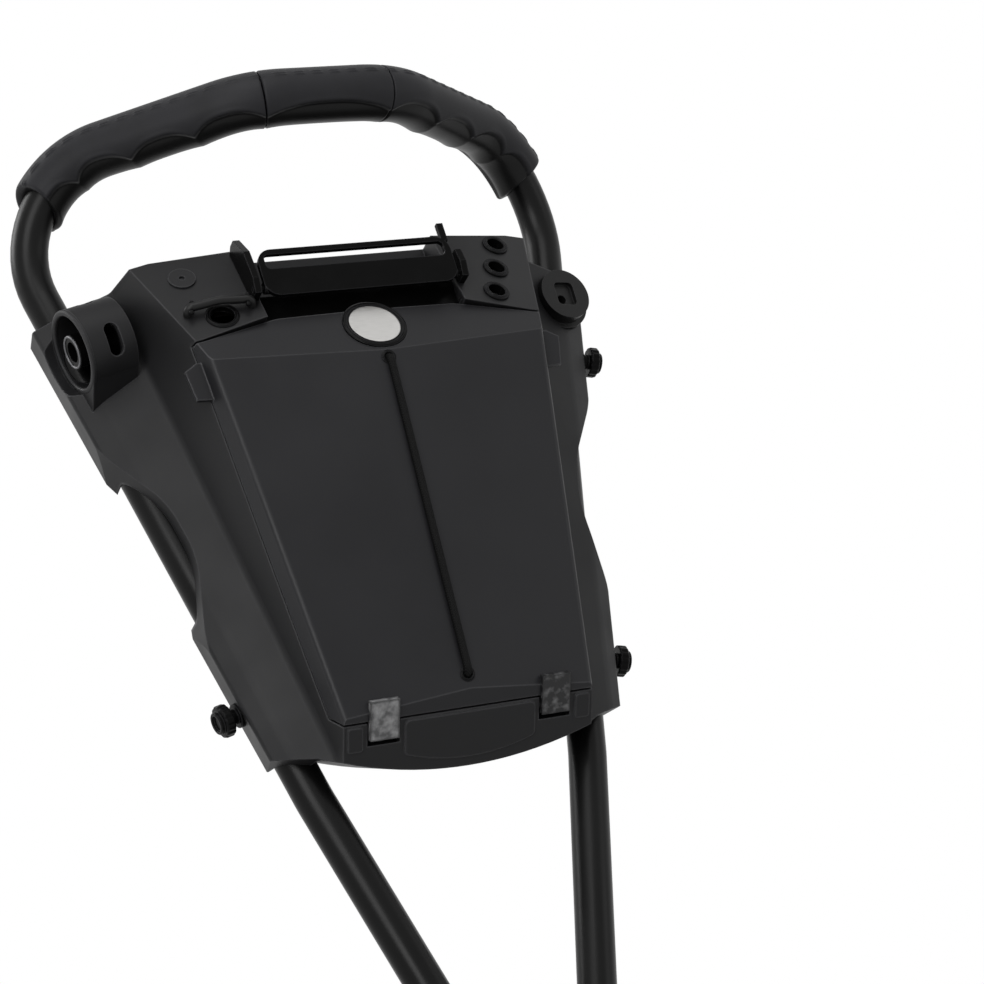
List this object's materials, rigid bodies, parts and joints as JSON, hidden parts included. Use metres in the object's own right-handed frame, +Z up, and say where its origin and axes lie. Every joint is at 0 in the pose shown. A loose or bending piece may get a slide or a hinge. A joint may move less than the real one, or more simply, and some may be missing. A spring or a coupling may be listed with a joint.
{
  "type": "golf trolley handle and console",
  "caption": "Upper handle of a push golf trolley: a bent tube loop with rubber grips round a moulded console with a hinged lid, a scorecard clip and accessory holders.",
  "frame": {"origin": "centre of the pivot bolt's bore at the foot of the legs", "axes": "+X to the right seen from the front of the trolley looking back at the user, +Y rearwards to the user, +Z up"},
  "size_m": [0.3515, 0.4097, 0.5385],
  "materials": {
    "black_tube": "satin powder coat",
    "zinc_steel": "zinc plated",
    "black_plastic": "fine moulded grain",
    "lid_plastic": "fine moulded grain",
    "gloss_black": "smooth",
    "grip_foam": "soft matte",
    "black_rubber": "matte",
    "bright_disc": "satin",
    "black_cord": "woven sheath"
  },
  "bodies": {
    "root": {"handle_tube": "black_tube", "pivot_sleeve": "zinc_steel", "leg_plug_left": "black_plastic", "leg_plug_right": "black_plastic", "grip_left": "grip_foam", "grip_centre": "grip_foam", "grip_right": "grip_foam", "console_shell": "black_plastic", "console_back": "black_plastic", "hinge_pins": "zinc_steel", "clip_fin_left": "black_plastic", "clip_fin_right": "black_plastic", "clip_pin": "gloss_black", "umbrella_boss": "black_plastic", "umbrella_post": "gloss_black", "accessory_disc": "black_plastic", "knob_lower_left": "gloss_black", "knob_lower_right": "gloss_black", "knob_upper_right": "gloss_black", "tee_ring_upper": "black_rubber", "tee_ring_middle": "black_rubber", "tee_ring_lower": "black_rubber", "strap_loop": "black_cord", "deck_plug": "black_plastic", "card_tray": "gloss_black"},
    "lid_body": {"lid": "lid_plastic", "hinge_tab_left": "gloss_black", "hinge_tab_right": "gloss_black", "badge_ring": "gloss_black", "badge_disc": "bright_disc", "elastic_cord": "black_cord"},
    "flap_body": {"scorecard_flap": "gloss_black"}
  },
  "joints": [
    {"name": "lid_hinge", "type": "hinge", "parent": "root", "child": "lid_body", "pos_m": [0, 0.10878, 0.18283], "axis": [1, 0, 0], "range_deg": [0, 95]},
    {"name": "flap_hinge", "type": "hinge", "parent": "root", "child": "flap_body", "pos_m": [0, 0.25378, 0.39991], "axis": [1, 0, 0], "range_deg": [0, 12], "stiffness_Nm_per_rad": 0.03, "springref_deg": -5.73}
  ]
}
